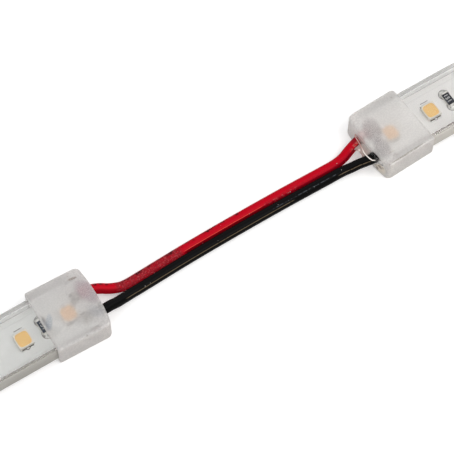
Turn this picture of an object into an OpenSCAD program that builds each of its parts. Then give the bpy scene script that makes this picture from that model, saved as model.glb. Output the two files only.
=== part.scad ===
// Wired joiner between two silicone covered LED strips.
// Two soft end caps sit on the strip ends, and a bonded red and black twin lead joins them.
// X runs from the left cap to the right cap, Z is up, and the caps stand on Z = 0.
// Each end is described once, by the distance u from the wire end of its cap, along the strip.

/* [Strip] */
// Width of the flexible circuit board
board_w = 10; // [8:0.5:12]
// Thickness of the circuit board
board_t = 0.25; // [0.15:0.05:0.5]
// Play of the board in the sleeve, on each side
board_play = 0.05; // [0.02:0.01:0.1]
// Side wall of the silicone sleeve
sleeve_side = 0.65; // [0.5:0.05:1.5]
// Floor of the sleeve, under the board
sleeve_floor = 1; // [0.6:0.05:1.2]
// Roof of the sleeve, over the air above the board
sleeve_roof = 0.55; // [0.4:0.05:0.7]
// Height of the silicone strip sleeve
sleeve_h = 3.8; // [3.6:0.1:5]
// Radius along the outer long edges of the sleeve
sleeve_r = 0.4; // [0.2:0.05:0.6]
// Radius under the roof of the sleeve
bore_r = 0.3; // [0.1:0.05:0.4]
// Reach of each strip from the wire end of its cap to its cut end
strip_l = 24.8; // [22:0.2:40]

/* [End cap] */
// Length of a cap from its mouth to the corners of its wire end
cap_l = 10.6; // [9:0.1:14]
// Side wall of the cap, before its skew
cap_side = 0.7; // [0.5:0.1:1.5]
// Floor of the cap, under the sleeve
cap_floor = 0.85; // [0.5:0.05:1.5]
// Roof of the cap, over the sleeve
cap_roof = 0.55; // [0.4:0.05:1.5]
// End wall that the wires pass through
end_wall = 1.3; // [1:0.1:1.4]
// Clearance of the sleeve in the cap, at the sides and the top
socket_gap = 0.1; // [0.05:0.05:0.2]
// Bulge of the wire end beyond its corners
dome = 0.5; // [0.2:0.1:1]
// Radius of the upright corners at the wire end
corner_r = 1.2; // [0.5:0.1:2]
// Radius along the top edges of the cap
edge_r = 0.5; // [0.2:0.1:0.7]
// Angle in degrees that the left cap sits askew on its strip
left_turn = 1.9; // [0:0.1:3]
// Angle in degrees that the right cap sits askew on its strip
right_turn = 2.7; // [0:0.1:3]
// Depth of the mould parting groove round the wire end
groove_d = 0.15; // [0.05:0.05:0.2]
// Height of the mould parting groove
groove_z = 2.5; // [1.5:0.1:3.5]

/* [Twin lead] */
// Free distance between the wire ends of the two caps
lead_gap = 58.4; // [58:0.1:58.8]
// Diameter of each insulated wire
wire_d = 1.95; // [1.6:0.05:2]
// Distance between the wires where they leave a cap
exit_pitch = 4.5; // [4.4:0.1:5]
// Diameter of the bare stranded conductor
conductor_d = 0.84; // [0.6:0.03:1]
// Length of bare conductor at each end
bare_l = 1.7; // [1:0.1:1.8]
// Play of the wires in the sealant
wire_play = 0.07; // [0.05:0.01:0.15]
// Height of the wire slot
slot_h = 2.9; // [2.6:0.1:3.1]
// Reach of the sealant web that bridges the wires in front of the right cap
web_l = 1.5; // [0.8:0.1:1.8]

/* [LED] */
// Size of the LED housing along the strip
led_w = 2.8; // [2:0.1:3]
// Size of the LED housing across the strip
led_d = 3.1; // [2.5:0.1:3.4]
// Height of the LED housing
led_h = 0.6; // [0.4:0.05:0.9]
// Rim of the housing round the phosphor window
led_rim = 0.25; // [0.15:0.05:0.4]
// Depth of the phosphor window
window_h = 0.4; // [0.2:0.05:0.5]
// Thickness of the LED leads under the housing
led_lead_t = 0.12; // [0.08:0.01:0.2]
// Reach of the LED leads beyond the housing
led_lead_out = 0.2; // [0.1:0.05:0.4]
// Distance of the first LED from the wire end of the cap
led_first = 5.3; // [5.2:0.1:5.6]
// Distance between LEDs
led_pitch = 9.2; // [9.2:0.1:9.4]

/* [Resistor] */
// Length of the resistor, across the strip
res_l = 3.2; // [2:0.1:3.4]
// Width of the resistor, along the strip
res_w = 1.6; // [1.2:0.1:1.8]
// Height of the resistor
res_h = 0.55; // [0.4:0.05:0.8]
// Length of each end terminal
res_end = 0.3; // [0.2:0.05:0.7]
// Distance of the resistor past the outer LED, towards the right
res_step = 4.3; // [4:0.1:4.4]
// Distance of the resistor off the middle of the strip, towards the red wire
res_off = 0.4; // [0:0.1:1]

/* [Pads and solder] */
// Thickness of the copper pads
pad_t = 0.05; // [0.03:0.01:0.1]
// Length of a wire pad along the strip
pad_l = 1.9; // [1.6:0.1:2]
// Width of a wire pad across the strip
pad_w = 2.2; // [1.6:0.1:2.6]
// Gap between the board and the end wall of the cap
board_gap = 0.45; // [0.35:0.05:0.5]
// Solder under the bare conductor
solder_under = 0.05; // [0.03:0.01:0.2]
// Height of a solder mound over a wire pad
mound_h = 0.8; // [0.5:0.05:0.9]
// Reach of the round pads and their solder past each end of the resistor
bead_out = 0.8; // [0.4:0.1:1]
// Middle of each round pad, in from the end of the resistor
bead_in = 0.2; // [0.1:0.05:0.3]
// Height of the solder at the resistor
bead_h = 0.42; // [0.2:0.02:0.5]

/* [Hidden] */
$fn = 28;
LEFT = -1;
RIGHT = 1;
OVER = 1;

// Route of the twin lead from the left pads to the right pads.
// Each point is x, the y of the middle between the wires, and two shares from 0 to 1:
// how far the wires have risen from the floor to their exits, and how far they have parted.
LEAD_ROUTE = [
    [-30.8, -0.11, 1, 1], [-29.2, -0.17, 1, 1], [-28.4, -0.2, 0.98, 0.98],
    [-27.2, -0.35, 0.84, 0.76], [-26, -0.6, 0.6, 0.5], [-24.8, -0.7, 0.36, 0.26],
    [-23.6, -0.75, 0.18, 0.08], [-22.2, -0.7, 0.06, 0], [-20, -0.6, 0, 0],
    [-10, -0.22, 0, 0], [0, -0.05, 0, 0], [10, -0.02, 0, 0], [20, -0.15, 0, 0],
    [22.2, -0.2, 0.06, 0], [23.6, -0.25, 0.18, 0.08], [24.8, -0.3, 0.36, 0.26],
    [26, -0.25, 0.6, 0.5], [27.2, -0.28, 0.84, 0.76], [28.4, -0.28, 0.98, 0.98],
    [29.2, -0.24, 1, 1], [30.8, -0.16, 1, 1]
];
WIRE_SIDES = 8;

// Heights
sleeve_z = cap_floor;
board_z = sleeve_z + sleeve_floor;
copper_z = board_z + board_t;
part_z = copper_z + pad_t;
wire_z = part_z + solder_under + conductor_d / 2;
cap_h = cap_floor + sleeve_h + socket_gap + cap_roof;

// Widths
bore_w = board_w + 2 * board_play;
sleeve_w = bore_w + 2 * sleeve_side;
socket_w = sleeve_w + 2 * socket_gap;
cap_w = socket_w + 2 * cap_side;
wire_reach = wire_d / 2 / cos(180 / WIRE_SIDES);
wire_hole_r = wire_reach + wire_play;

// Places along the strip
board_u = end_wall + board_gap;
cap_mid_u = (cap_l - dome) / 2;
bare_u = LEAD_ROUTE[len(LEAD_ROUTE) - 1].x - lead_gap / 2;
pad_u = board_u + 0.05;
pad_far_u = pad_u + pad_l;
mound_u = pad_u + pad_l / 2;
dome_r = round(pow(cap_w / 2, 2) / (2 * dome) + dome / 2);

// Sizes of the small parts
mouth_r = 0.3;
bottom_r = 0.2;
window_r = 0.5;
notch = 0.45;
lead_split = 0.4;
lead_in = 0.9;
lead_w = led_w - 0.5;
fillet_h = led_lead_t + 0.1;
fillet_out = 0.3;
coating_t = 0.04;
plating_t = 0.05;
mound_r = pad_l / 2 - 0.05;
cut_back = pad_far_u + 0.1;
bead_r = bead_in + bead_out;

// Puts what is described from a cap's wire end at the left or the right end.
module at_end(side) {
    if (side == RIGHT)
        translate([lead_gap / 2, 0, 0]) children();
    else
        mirror([1, 0, 0]) translate([lead_gap / 2, 0, 0]) children();
}

// Angle of a cap on its strip, seen from its own end.
function cap_turn(side) = side == RIGHT ? right_turn : left_turn;

// Y of a wire's bare end, which lies on the line through its hole in the askew cap.
function bare_y(side, s) = s * exit_pitch / 2 + (bare_u - cap_mid_u) * tan(cap_turn(side));

// Turns the outside of a cap, its slot and its sealant about the middle of the cap.
module askew(side) {
    translate([cap_mid_u, 0, 0]) rotate([0, 0, cap_turn(side)]) translate([-cap_mid_u, 0, 0]) children();
}

// Extrudes a Y-Z outline along the strip, from one u to another.
module along(from, to) {
    translate([from, 0, 0]) rotate([90, 0, 90]) linear_extrude(to - from) children();
}

// A slab that stands on z, centred on u and y.
module slab(u, y, z, size) {
    translate([u - size.x / 2, y - size.y / 2, z]) cube(size);
}

// A rectangle standing on Y = 0 with its own radius at the lower and the upper corners.
module rounded_section(w, h, r_low, r_high) {
    difference() {
        translate([-w / 2, 0]) square([w, h]);
        for (s = [-1, 1]) {
            translate([s * w / 2, 0]) corner_waste(-s, 1, r_low);
            translate([s * w / 2, h]) corner_waste(-s, -1, r_high);
        }
    }
}

// What a round corner takes away from a square one; sx and sy point into the shape.
module corner_waste(sx, sy, r) {
    difference() {
        translate([sx > 0 ? -OVER : -r, sy > 0 ? -OVER : -r]) square(r + OVER);
        translate([sx * r, sy * r]) circle(r);
        translate([sx > 0 ? r : -r - 3 * OVER, -2 * OVER]) square([3 * OVER, 4 * OVER]);
        translate([-2 * OVER, sy > 0 ? r : -r - 3 * OVER]) square([4 * OVER, 3 * OVER]);
    }
}

// Wire slot outline, an upright oval laid on its side.
module slot_outline() {
    translate([0, wire_z]) {
        square([exit_pitch, slot_h], center = true);
        for (s = [-1, 1]) translate([s * exit_pitch / 2, 0]) circle(d = slot_h);
    }
}

// Outline of the cap seen from above.
module cap_plan() {
    difference() {
        translate([-dome - OVER, -cap_w / 2]) square([cap_l + dome + OVER, cap_w]);
        for (s = [-1, 1]) {
            translate([cap_l, s * cap_w / 2]) corner_waste(-1, -s, mouth_r);
            translate([-dome / 4, s * cap_w / 2]) corner_waste(1, -s, corner_r);
        }
    }
}

// Round slab whose rim is the domed wire end, with its top edge rounded over.
module dome_slab() {
    translate([dome_r - dome, 0, 0]) rotate_extrude($fn = 200) intersection() {
        rounded_section(2 * dome_r, cap_h, bottom_r, edge_r);
        square([2 * dome_r, cap_h]);
    }
}

// V groove that follows the domed wire end.
module parting_groove() {
    translate([dome_r - dome, 0, groove_z]) rotate_extrude($fn = 200)
        polygon([[dome_r + OVER, -OVER - groove_d], [dome_r - groove_d, 0], [dome_r + OVER, OVER + groove_d]]);
}

// The soft socket follows the strip, and its side walls take up the skew of the outside.
module cap(side) {
    color("gainsboro", 0.8) at_end(side) difference() {
        askew(side) difference() {
            intersection() {
                along(-dome, cap_l) rounded_section(cap_w, cap_h, bottom_r, edge_r);
                linear_extrude(cap_h) cap_plan();
                dome_slab();
            }
            along(-dome - OVER, end_wall + OVER) slot_outline();
            parting_groove();
        }
        along(end_wall, cap_l + OVER) translate([0, cap_floor])
            rounded_section(socket_w, sleeve_h + socket_gap, sleeve_r, sleeve_r);
    }
}

// Web of sealant between the wires, narrower towards its hollow front edge.
module sealant_web() {
    half = exit_pitch / 2 - wire_hole_r;
    hollow_r = half;
    translate([0, 0, wire_z - conductor_d]) linear_extrude(2 * conductor_d) difference() {
        polygon([[0, -half], [0, half], [-dome - web_l, half * 0.6], [-dome - web_l, -half * 0.6]]);
        translate([-dome - web_l - hollow_r / 2, 0]) circle(hollow_r);
    }
}

module sealant(side) {
    color("mistyrose", 0.7) at_end(side) askew(side) {
        difference() {
            along(-dome / 2, end_wall) slot_outline();
            for (s = [-1, 1]) translate([-dome - OVER, s * exit_pitch / 2, wire_z])
                rotate([0, 90, 0]) cylinder(h = end_wall + 2 * OVER + dome, r = wire_hole_r);
        }
        if (side == RIGHT) sealant_web();
    }
}

// Tube of silicone that the board lies in, with its roof and sides cut back over the wire pads.
module sleeve(side) {
    bore_h = sleeve_h - sleeve_floor - sleeve_roof;
    color("whitesmoke", 0.4) at_end(side) difference() {
        along(board_u, strip_l) translate([0, sleeve_z])
            rounded_section(sleeve_w, sleeve_h, sleeve_r, sleeve_r);
        along(board_u - OVER, strip_l + OVER) translate([0, board_z])
            rounded_section(bore_w, bore_h, board_play, bore_r);
        slab(0, 0, board_z, [2 * cut_back, 2 * sleeve_w, sleeve_h]);
    }
}

module board(side) {
    color("white") at_end(side) translate([board_u, -board_w / 2, board_z])
        cube([strip_l - board_u, board_w, board_t]);
}

// The resistor follows the outer LED on its right hand side at both ends.
function resistor_u(side) = led_first + led_pitch + side * res_step;

module pads(side) {
    color("silver") at_end(side) {
        for (s = [-1, 1]) {
            slab(pad_u + pad_l / 2, s * exit_pitch / 2, copper_z, [pad_l, pad_w, pad_t]);
            for (u = [led_first, led_first + led_pitch]) led_pad(u, s);
            resistor_pad(resistor_u(side), s);
        }
    }
}

module led_pad(u, s) {
    inner = led_d / 2 - lead_in;
    outer = led_d / 2 + led_lead_out + fillet_out;
    slab(u, s * (inner + outer) / 2, copper_z, [lead_w, outer - inner, pad_t]);
}

// Y of the middle of a resistor's pad; s is 1 at its far end and -1 at its near end.
function bead_y(s) = res_off + s * (res_l / 2 - bead_in);

module resistor_pad(u, s) {
    translate([u, bead_y(s), copper_z]) cylinder(h = pad_t, r = bead_r);
}

// Outline of the phosphor window from above.
module window_outline() {
    w = led_w - 2 * led_rim;
    d = led_d - 2 * led_rim;
    translate([0, -d / 2]) rounded_section(w, d, window_r, window_r);
}

function led_u(place) = place == "inner" ? led_first : led_first + led_pitch;

module led_housing(side, place) {
    base_z = part_z + led_lead_t;
    color("ghostwhite") at_end(side) translate([led_u(place), 0, base_z]) difference() {
        translate([-led_w / 2, -led_d / 2, 0]) cube([led_w, led_d, led_h]);
        translate([0, 0, led_h - window_h]) linear_extrude(window_h + OVER) window_outline();
        translate([-side * led_w / 2, led_d / 2, led_h / 2]) rotate([0, 0, 45])
            cube([notch, notch, 2 * led_h], center = true);
    }
}

module led_phosphor(side, place) {
    base_z = part_z + led_lead_t + led_h - window_h;
    color("sandybrown") at_end(side) translate([led_u(place), 0, base_z])
        linear_extrude(window_h - 0.05) window_outline();
}

module led_leads(side, place) {
    inner = led_d / 2 - lead_in;
    outer = led_d / 2 + led_lead_out;
    color("silver") at_end(side) translate([led_u(place), 0, part_z])
        for (s = [-1, 1]) difference() {
            slab(0, s * (inner + outer) / 2, 0, [lead_w, outer - inner, led_lead_t]);
            slab(0, s * outer, -OVER, [lead_split, 2 * led_lead_out, led_lead_t + 2 * OVER]);
        }
}

module resistor_body(side) {
    color("white") at_end(side) slab(resistor_u(side), res_off, part_z + plating_t,
        [res_w - 2 * plating_t, res_l - 2 * plating_t, res_h - 2 * plating_t]);
}

module resistor_coating(side) {
    color("black") at_end(side) slab(resistor_u(side), res_off, part_z + res_h - plating_t,
        [res_w - 3 * plating_t, res_l - 2 * res_end - 2 * plating_t, coating_t]);
}

module resistor_terminals(side) {
    color("silver") at_end(side) for (s = [-1, 1]) difference() {
        slab(resistor_u(side), res_off + s * (res_l - res_end) / 2, part_z, [res_w, res_end, res_h]);
        slab(resistor_u(side), res_off, part_z + plating_t,
            [res_w - 2 * plating_t, res_l - 2 * plating_t, res_h - 2 * plating_t]);
    }
}

// Part of a ball that stands on z, with that foot radius and height.
module bead(u, y, z, foot_r, h) {
    ball_r = (pow(foot_r, 2) + pow(h, 2)) / (2 * h);
    translate([u, y, z]) intersection() {
        translate([0, 0, h - ball_r]) sphere(ball_r);
        cylinder(h = 2 * h, r = 2 * foot_r);
    }
}

// Solder along the outer edge of an LED lead.
module lead_fillet(u, s) {
    outer = led_d / 2 + led_lead_out;
    translate([u - lead_w / 2, s * outer, part_z]) rotate([90, 0, 90]) linear_extrude(lead_w)
        polygon([[0, 0], [s * fillet_out, 0], [0, fillet_h]]);
}

module part_solder(side) {
    u = resistor_u(side);
    color("lightgray") at_end(side) {
        for (s = [-1, 1]) {
            lead_fillet(led_first, s);
            lead_fillet(led_first + led_pitch, s);
            difference() {
                bead(u, bead_y(s), part_z, bead_r, bead_h);
                slab(u, res_off, part_z - OVER, [res_w, res_l, res_h + 2 * OVER]);
            }
        }
    }
}

module wire_solder(side) {
    color("lightgray") at_end(side) for (s = [-1, 1]) difference() {
        bead(mound_u, s * exit_pitch / 2, part_z, mound_r, mound_h);
        translate([0, bare_y(side, s), wire_z]) rotate([0, 90, 0])
            cylinder(h = 2 * pad_far_u, r = conductor_d / 2 + 0.02);
    }
}

// Seven tinned strands, six of them round the middle one.
module strands(side, s) {
    strand_d = conductor_d / 2.9;
    color("silver") at_end(side) translate([bare_u, bare_y(side, s), wire_z]) rotate([0, 90, 0]) {
        cylinder(h = bare_l, d = strand_d);
        for (a = [0:60:300]) rotate([0, 0, a]) translate([0.95 * strand_d, 0, 0])
            cylinder(h = bare_l, d = strand_d);
    }
}

// Middle of one wire at a point of the route; s is 1 for red and -1 for black.
function wire_point(p, s) = [
    p[0],
    p[1] + s * (wire_d / 2 + p[3] * (exit_pitch - wire_d) / 2),
    wire_d / 2 + p[2] * (wire_z - wire_d / 2)
];

// Ring of corners round a point of the wire, with flats below and at the sides.
function wire_ring(c) = [
    for (k = [0:WIRE_SIDES - 1])
        let (a = (k + 0.5) * 360 / WIRE_SIDES)
        c + wire_reach * [0, cos(a), sin(a)]
];

// A plain tube through the route, with a ring at each of its points.
module wire_tube(s) {
    n = WIRE_SIDES;
    last = len(LEAD_ROUTE) - 1;
    points = [for (p = LEAD_ROUTE) each wire_ring(wire_point(p, s))];
    sides = [
        for (i = [0:last - 1]) for (k = [0:n - 1])
            let (a = i * n + k, b = i * n + (k + 1) % n)
            [a, a + n, b + n, b]
    ];
    start = [for (k = [0:n - 1]) k];
    end = [for (k = [n - 1:-1:0]) last * n + k];
    polyhedron(points, concat([start], sides, [end]));
}

module red_wire() {
    color("crimson") wire_tube(1);
}

module black_wire() {
    color("black") wire_tube(-1);
}

red_wire();
black_wire();
cap(LEFT);  // left_cap
sealant(LEFT);  // left_sealant
sleeve(LEFT);  // left_sleeve
board(LEFT);  // left_board
pads(LEFT);  // left_pads
led_housing(LEFT, "inner");  // left_inner_led_housing
led_phosphor(LEFT, "inner");  // left_inner_led_phosphor
led_leads(LEFT, "inner");  // left_inner_led_leads
led_housing(LEFT, "outer");  // left_outer_led_housing
led_phosphor(LEFT, "outer");  // left_outer_led_phosphor
led_leads(LEFT, "outer");  // left_outer_led_leads
resistor_body(LEFT);  // left_resistor_body
resistor_coating(LEFT);  // left_resistor_coating
resistor_terminals(LEFT);  // left_resistor_terminals
part_solder(LEFT);  // left_part_solder
wire_solder(LEFT);  // left_wire_solder
strands(LEFT, 1);  // left_red_strands
strands(LEFT, -1);  // left_black_strands
cap(RIGHT);  // right_cap
sealant(RIGHT);  // right_sealant
sleeve(RIGHT);  // right_sleeve
board(RIGHT);  // right_board
pads(RIGHT);  // right_pads
led_housing(RIGHT, "inner");  // right_inner_led_housing
led_phosphor(RIGHT, "inner");  // right_inner_led_phosphor
led_leads(RIGHT, "inner");  // right_inner_led_leads
led_housing(RIGHT, "outer");  // right_outer_led_housing
led_phosphor(RIGHT, "outer");  // right_outer_led_phosphor
led_leads(RIGHT, "outer");  // right_outer_led_leads
resistor_body(RIGHT);  // right_resistor_body
resistor_coating(RIGHT);  // right_resistor_coating
resistor_terminals(RIGHT);  // right_resistor_terminals
part_solder(RIGHT);  // right_part_solder
wire_solder(RIGHT);  // right_wire_solder
strands(RIGHT, 1);  // right_red_strands
strands(RIGHT, -1);  // right_black_strands
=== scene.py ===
"""Looks of a wired joiner between two silicone covered LED strips.

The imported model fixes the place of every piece. This script gives its rigid pieces their finishes,
sets modelled skins in the place of its soft pieces (end caps, strip sleeves, sealant and the twin
lead), and shows all of it on a pale floor under soft light. Sizes in the classes are millimetres.
"""
import logging
import math
from collections.abc import Sequence
from dataclasses import dataclass, field, replace
from enum import Enum

import bmesh
import bpy
from mathutils import Matrix, Vector


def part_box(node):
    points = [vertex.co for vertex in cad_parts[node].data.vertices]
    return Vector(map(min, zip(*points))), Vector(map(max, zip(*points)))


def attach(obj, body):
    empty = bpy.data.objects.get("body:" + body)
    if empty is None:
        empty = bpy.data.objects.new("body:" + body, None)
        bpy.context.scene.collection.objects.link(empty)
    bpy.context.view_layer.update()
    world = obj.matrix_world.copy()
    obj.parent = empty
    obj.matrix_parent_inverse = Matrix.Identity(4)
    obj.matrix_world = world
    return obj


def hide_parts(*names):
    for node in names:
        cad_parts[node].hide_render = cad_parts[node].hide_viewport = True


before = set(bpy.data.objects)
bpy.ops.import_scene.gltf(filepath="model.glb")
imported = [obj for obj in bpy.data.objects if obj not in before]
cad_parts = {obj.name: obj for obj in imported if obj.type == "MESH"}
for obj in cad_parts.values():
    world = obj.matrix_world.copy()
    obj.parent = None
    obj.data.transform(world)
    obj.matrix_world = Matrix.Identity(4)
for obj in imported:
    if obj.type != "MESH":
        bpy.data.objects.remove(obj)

LOG = logging.getLogger("joiner")
MM = 0.001
BODY = "root"
Point = tuple[float, float, float]
Colour = tuple[float, float, float]
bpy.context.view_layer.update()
LED_MIDDLE = 39.1
LED_HALF_PITCH = 4.6


class End(Enum):
    """The two ends of the joiner; the value is the sign of X there."""

    LEFT = -1
    RIGHT = 1

    @property
    def prefix(self) -> str:
        """Start of the names of this end's nodes."""
        return self.name.lower() + "_"


class Pole(Enum):
    """The two wires of the lead; the value is the side of Y that each lies on."""

    RED = 1
    BLACK = -1


class Socket:
    """An output socket that Python arithmetic turns into Math nodes."""

    def __init__(self, graph: "Graph", socket: bpy.types.NodeSocket) -> None:
        """Keeps the socket and the graph that it belongs to."""
        self.graph = graph
        self.socket = socket

    def math(self, operation: str, *values: "Socket | float") -> "Socket":
        """Adds one Math node.

        Args:
            operation: The node's operation.
            values: Its inputs, in order.

        Returns:
            The node's output.
        """
        return self.graph.node("ShaderNodeMath", {"operation": operation}, dict(enumerate(values)))

    def __add__(self, other: "Socket | float") -> "Socket":
        """Sum."""
        return self.math("ADD", self, other)

    def __radd__(self, other: float) -> "Socket":
        """Sum with a number in front."""
        return self.math("ADD", other, self)

    def __sub__(self, other: "Socket | float") -> "Socket":
        """Difference."""
        return self.math("SUBTRACT", self, other)

    def __rsub__(self, other: float) -> "Socket":
        """Difference from a number."""
        return self.math("SUBTRACT", other, self)

    def __mul__(self, other: "Socket | float") -> "Socket":
        """Product."""
        return self.math("MULTIPLY", self, other)

    def __rmul__(self, other: float) -> "Socket":
        """Product with a number in front."""
        return self.math("MULTIPLY", other, self)

    def __truediv__(self, other: "Socket | float") -> "Socket":
        """Quotient."""
        return self.math("DIVIDE", self, other)

    def __pow__(self, other: "Socket | float") -> "Socket":
        """Power."""
        return self.math("POWER", self, other)

    def __abs__(self) -> "Socket":
        """Size without sign."""
        return self.math("ABSOLUTE", self)

    def larger(self, other: "Socket | float") -> "Socket":
        """The larger of two values."""
        return self.math("MAXIMUM", self, other)

    def within(self, low: float, high: float, soft: float) -> "Socket":
        """1 from low to high and 0 outside, with edges that are soft for that much on each side."""
        return self.step(low - soft, low + soft) * self.step(high + soft, high - soft)

    def step(self, low: float, high: float) -> "Socket":
        """Smooth change from 0 at low to 1 at high.

        Args:
            low: Value that gives 0; it may be the larger one.
            high: Value that gives 1.

        Returns:
            The smoothed value.
        """
        settings = {"interpolation_type": "SMOOTHSTEP"}
        if low < high:
            return self.graph.node("ShaderNodeMapRange", settings, {0: self, 1: low, 2: high})
        return 1 - self.graph.node("ShaderNodeMapRange", settings, {0: self, 1: high, 2: low})


class Graph:
    """A node tree with one method that adds any node."""

    def __init__(self, tree: bpy.types.NodeTree) -> None:
        """Keeps the tree that the nodes go into."""
        self.tree = tree

    def node(self, kind: str, settings: dict | None = None, inputs: dict | None = None,
             output: int | str = 0) -> Socket:
        """Adds a node.

        Args:
            kind: The node's type.
            settings: Its properties, which are set first; stops are a colour ramp's.
            inputs: Values or sockets by the input's name or number.
            output: Name or number of the output wanted.

        Returns:
            That output.
        """
        made = self.tree.nodes.new(kind)
        for name, value in (settings or {}).items():
            if name == "stops":
                self._set_stops(made.color_ramp, value)
            else:
                setattr(made, name, value)
        for key, value in (inputs or {}).items():
            if isinstance(value, Socket):
                self.tree.links.new(value.socket, made.inputs[key])
            else:
                made.inputs[key].default_value = value
        return Socket(self, made.outputs[output])

    @staticmethod
    def _set_stops(ramp: bpy.types.ColorRamp, stops: Sequence[tuple[float, Colour]]) -> None:
        """Gives a ramp its stops, each a place and a colour."""
        while len(ramp.elements) < len(stops):
            ramp.elements.new(1)
        for element, (place, colour) in zip(ramp.elements, stops):
            element.position = place
            element.color = (*colour, 1)

    def finish(self, surface: Socket, kind: str = "ShaderNodeOutputMaterial") -> None:
        """Links a shader to the output of a material or a world."""
        out = self.tree.nodes.new(kind)
        self.tree.links.new(surface.socket, out.inputs["Surface"])

    def mix(self, factor: Socket | float, first: Socket | Colour, second: Socket | Colour) -> Socket:
        """Blends two colours.

        Args:
            factor: Share of the second colour.
            first: The colour at 0.
            second: The colour at 1.

        Returns:
            The blended colour.
        """
        full = [c if isinstance(c, Socket) else (*c, 1) for c in (first, second)]
        inputs = {0: factor, 6: full[0], 7: full[1]}
        return self.node("ShaderNodeMix", {"data_type": "RGBA"}, inputs, 2)

    def place(self) -> Socket:
        """Object coordinates in millimetres."""
        where = self.node("ShaderNodeTexCoord", output="Object")
        scaled = {0: where, 3: 1 / MM}
        return self.node("ShaderNodeVectorMath", {"operation": "SCALE"}, scaled)

    def axes(self, vector: Socket) -> tuple[Socket, Socket, Socket]:
        """The three parts of a vector."""
        split = self.node("ShaderNodeSeparateXYZ", inputs={0: vector})
        outputs = split.socket.node.outputs
        return tuple(Socket(self, outputs[i]) for i in range(3))

    def noise(self, vector: Socket, scale: float, detail: float = 2, stretch: Point = (1, 1, 1)) -> Socket:
        """Noise from 0 to 1 on a vector in millimetres.

        Args:
            vector: Where it is read.
            scale: Bumps to the millimetre.
            detail: Octaves.
            stretch: Factor on each axis, smaller where the noise is drawn out.

        Returns:
            The noise's value.
        """
        inputs = {0: vector, 1: tuple(scale * s for s in stretch)}
        drawn = self.node("ShaderNodeVectorMath", {"operation": "MULTIPLY"}, inputs)
        return self.node("ShaderNodeTexNoise", None, {"Vector": drawn, "Scale": 1.0, "Detail": detail})

    def bump(self, height: Socket, depth_mm: float) -> Socket:
        """Normal of a surface with that relief.

        Args:
            height: Relief from 0 to 1.
            depth_mm: What 1 stands for.

        Returns:
            The bent normal.
        """
        inputs = {"Strength": 1.0, "Distance": depth_mm * MM, "Height": height}
        return self.node("ShaderNodeBump", None, inputs)

    def spot(self, x: Socket, y: Socket, centre: tuple[float, float], half: tuple[float, float],
             turn_deg: float = 0) -> Socket:
        """Soft edged oval mark seen from above.

        Args:
            x: X in millimetres.
            y: Y in millimetres.
            centre: Middle of the mark.
            half: Its half length and half width.
            turn_deg: Angle of its length from X.

        Returns:
            1 inside the mark and 0 outside.
        """
        c, s = math.cos(math.radians(turn_deg)), math.sin(math.radians(turn_deg))
        dx, dy = x - centre[0], y - centre[1]
        along, across = (dx * c + dy * s) / half[0], (dy * c - dx * s) / half[1]
        return (along * along + across * across).step(1.25, 0.35)


@dataclass(frozen=True)
class Finish:
    """A finish on one Principled shader, with its fixed numbers on the shader's own sockets."""

    name: str
    colour: Colour
    roughness: float = 0.5
    metallic: float = 0.0
    transmission: float = 0.0
    ior: float = 1.45
    specular: float = 0.5
    coat: float = 0.0

    def pattern(self, graph: Graph) -> dict[str, Socket]:
        """Inputs of the shader that change over the surface; a plain finish has a fine grain.

        Args:
            graph: The material's graph.

        Returns:
            Sockets by the name of the input that they feed.
        """
        grain = graph.noise(graph.place(), 6)
        return {
            "Base Color": graph.mix(grain * 0.3, self.colour, tuple(0.8 * c for c in self.colour)),
            "Roughness": grain * 0.15 + (self.roughness - 0.07),
        }

    def shader(self, graph: Graph, inputs: dict) -> Socket:
        """Principled shader with the finish's numbers, where the inputs don't say otherwise."""
        fixed = {
            "Base Color": (*self.colour, 1), "Roughness": self.roughness, "Metallic": self.metallic,
            "IOR": self.ior, "Transmission Weight": self.transmission,
            "Specular IOR Level": self.specular, "Coat Weight": self.coat, "Coat Roughness": 0.1,
        }
        return graph.node("ShaderNodeBsdfPrincipled", None, fixed | inputs, "BSDF")

    def surface(self, graph: Graph) -> Socket:
        """The whole surface of the finish."""
        return self.shader(graph, self.pattern(graph))

    def build(self) -> bpy.types.Material:
        """Makes the material.

        Returns:
            The material, ready to assign.
        """
        material = bpy.data.materials.new(self.name)
        material.use_nodes = True
        material.node_tree.nodes.clear()
        graph = Graph(material.node_tree)
        graph.finish(self.surface(graph))
        return material


@dataclass(frozen=True)
class Mark:
    """A speck, a stain, a patch of painted shade or a painted glint on a moulding, in millimetres, seen from above
    or on the face that it names.
    """

    centre: tuple[float, float]
    half: tuple[float, float]
    turn_deg: float = 0
    depth: float = 0.6
    colour: Colour = (0.2, 0.13, 0.1)
    above: float = 4.7


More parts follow.
